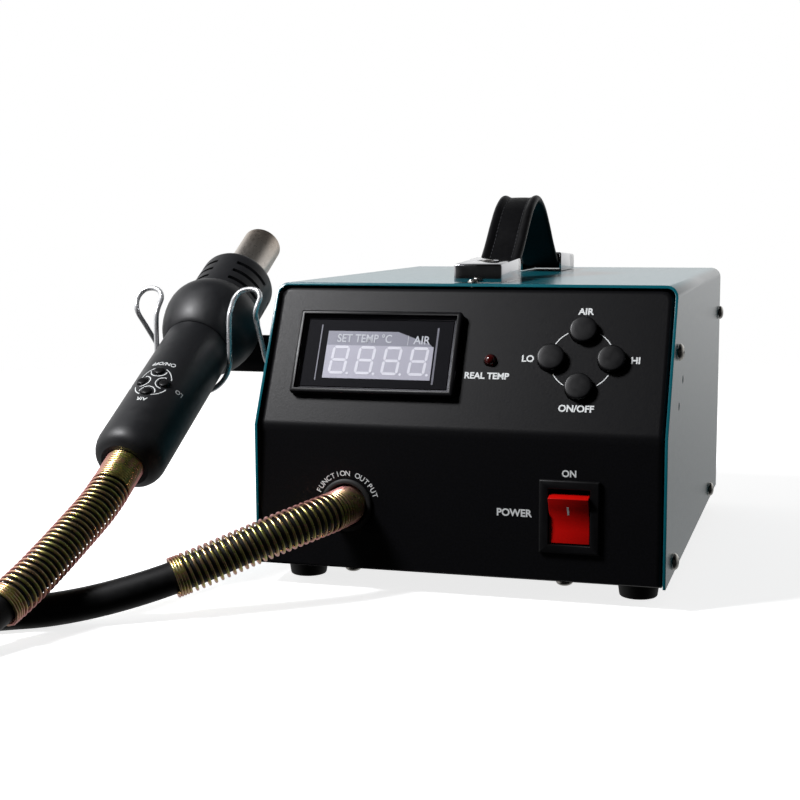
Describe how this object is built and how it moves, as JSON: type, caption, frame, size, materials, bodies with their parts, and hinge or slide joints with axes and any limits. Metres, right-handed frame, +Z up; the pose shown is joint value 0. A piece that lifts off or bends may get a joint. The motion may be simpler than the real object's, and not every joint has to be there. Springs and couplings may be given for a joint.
{
  "type": "hot air rework station",
  "caption": "Hot air rework station: sloped steel cabinet with display, buttons and rocker switch, carrying strap, and a hose to a handpiece in a wire holder.",
  "frame": {"origin": "middle of the footprint of the cabinet, its feet, handpiece and holder, on the surface that the feet stand on", "axes": "+Z up, -Y towards the control panel, +X to the right as seen from the front"},
  "size_m": [0.3972, 0.5326, 0.1725],
  "materials": {
    "black_plastic": "fine spark-eroded texture",
    "black_rubber": "plain",
    "black_textured_steel": "black powder coat with a fine texture",
    "cast_aluminium": "as cast",
    "chrome": "polished plating",
    "dark_window": "smoked acrylic",
    "green_laminate": "glass laminate with solder mask",
    "iron_core": "stacked sheets",
    "mica": "pressed mica sheet",
    "nickel_screws": "nickel plated",
    "red_lens": "clear red lens",
    "red_plastic": "smooth",
    "silicone": "translucent silicone",
    "stainless_pipe": "fine circumferential polish",
    "teal_painted_steel": "smooth teal powder coat",
    "yellow_zinc": "yellow passivated zinc with green and pink tints"
  },
  "bodies": {
    "station": {"air_pipe": "silicone", "chassis": "black_textured_steel", "control_board": "green_laminate", "cover": "teal_painted_steel", "cover_screw_left_lower_front": "nickel_screws", "cover_screw_left_lower_rear": "nickel_screws", "cover_screw_left_upper_front": "nickel_screws", "cover_screw_left_upper_rear": "nickel_screws", "cover_screw_right_lower_front": "nickel_screws", "cover_screw_right_lower_rear": "nickel_screws", "cover_screw_right_upper_front": "nickel_screws", "cover_screw_right_upper_rear": "nickel_screws", "cover_screw_top": "nickel_screws", "display_bezel": "black_plastic", "display_module": "green_laminate", "display_window": "dark_window", "foot_front_left": "black_rubber", "foot_front_right": "black_rubber", "foot_rear_left": "black_rubber", "foot_rear_right": "black_rubber", "front_panel": "black_textured_steel", "holder_bracket": "black_textured_steel", "holder_screw_front": "nickel_screws", "holder_screw_rear": "nickel_screws", "holder_wire": "chrome", "hose_coil": "black_rubber", "hose_handpiece_run": "black_rubber", "hose_outlet_run": "black_rubber", "indicator_lamp": "red_lens", "mains_inlet": "black_plastic", "outlet_gland": "black_rubber", "outlet_spring": "yellow_zinc", "panel_screw_left": "nickel_screws", "panel_screw_right": "nickel_screws", "power_board": "green_laminate", "pump_coil": "iron_core", "pump_housing": "cast_aluminium", "strap": "black_plastic", "strap_clamp_front": "chrome", "strap_clamp_rear": "chrome", "strap_screw_front": "nickel_screws", "strap_screw_rear": "nickel_screws", "switch_housing": "black_plastic"},
    "rocker": {"switch_rocker": "red_plastic"},
    "front_button_air": {"button_air": "black_plastic"},
    "front_button_low": {"button_low": "black_plastic"},
    "front_button_high": {"button_high": "black_plastic"},
    "front_button_on_off": {"button_on_off": "black_plastic"},
    "handpiece": {"handpiece_grip": "black_plastic", "handpiece_head": "black_plastic", "heater_pipe": "stainless_pipe", "heater_core": "mica", "handpiece_board": "green_laminate", "handpiece_spring": "yellow_zinc"},
    "pad_button_on_off": {"grip_button_on_off": "black_plastic"},
    "pad_button_high": {"grip_button_high": "black_plastic"},
    "pad_button_low": {"grip_button_low": "black_plastic"},
    "pad_button_air": {"grip_button_air": "black_plastic"},
    "armature": {"pump_armature": "iron_core"}
  },
  "joints": [
    {"name": "rocker_hinge", "type": "hinge", "parent": "station", "child": "rocker", "pos_m": [0.08913, -0.10125, 0.0382], "axis": [1, 0, 0], "range_deg": [-24, 0]},
    {"name": "button_air_press", "type": "slide", "parent": "station", "child": "front_button_air", "axis": [0, 0.8915, -0.4531], "range_m": [0, 0.0015], "stiffness_N_per_m": 600},
    {"name": "button_low_press", "type": "slide", "parent": "station", "child": "front_button_low", "axis": [0, 0.8915, -0.4531], "range_m": [0, 0.0015], "stiffness_N_per_m": 600},
    {"name": "button_high_press", "type": "slide", "parent": "station", "child": "front_button_high", "axis": [0, 0.8915, -0.4531], "range_m": [0, 0.0015], "stiffness_N_per_m": 600},
    {"name": "button_on_off_press", "type": "slide", "parent": "station", "child": "front_button_on_off", "axis": [0, 0.8915, -0.4531], "range_m": [0, 0.0015], "stiffness_N_per_m": 600},
    {"name": "handpiece_lift", "type": "slide", "parent": "station", "child": "handpiece", "axis": [0, 0.3502, 0.9367], "range_m": [0, 0.06], "deforming": ["hose_handpiece_run"]},
    {"name": "grip_button_on_off_press", "type": "slide", "parent": "handpiece", "child": "pad_button_on_off", "axis": [-0.0698, 0.4958, -0.8657], "range_m": [0, 0.0006], "stiffness_N_per_m": 800},
    {"name": "grip_button_high_press", "type": "slide", "parent": "handpiece", "child": "pad_button_high", "axis": [-0.0698, 0.4958, -0.8657], "range_m": [0, 0.0006], "stiffness_N_per_m": 800},
    {"name": "grip_button_low_press", "type": "slide", "parent": "handpiece", "child": "pad_button_low", "axis": [-0.0698, 0.4958, -0.8657], "range_m": [0, 0.0006], "stiffness_N_per_m": 800},
    {"name": "grip_button_air_press", "type": "slide", "parent": "handpiece", "child": "pad_button_air", "axis": [-0.0698, 0.4958, -0.8657], "range_m": [0, 0.0006], "stiffness_N_per_m": 800},
    {"name": "armature_slide", "type": "slide", "parent": "station", "child": "armature", "axis": [1, 0, 0], "range_m": [-0.001, 0.001], "stiffness_N_per_m": 4000}
  ]
}
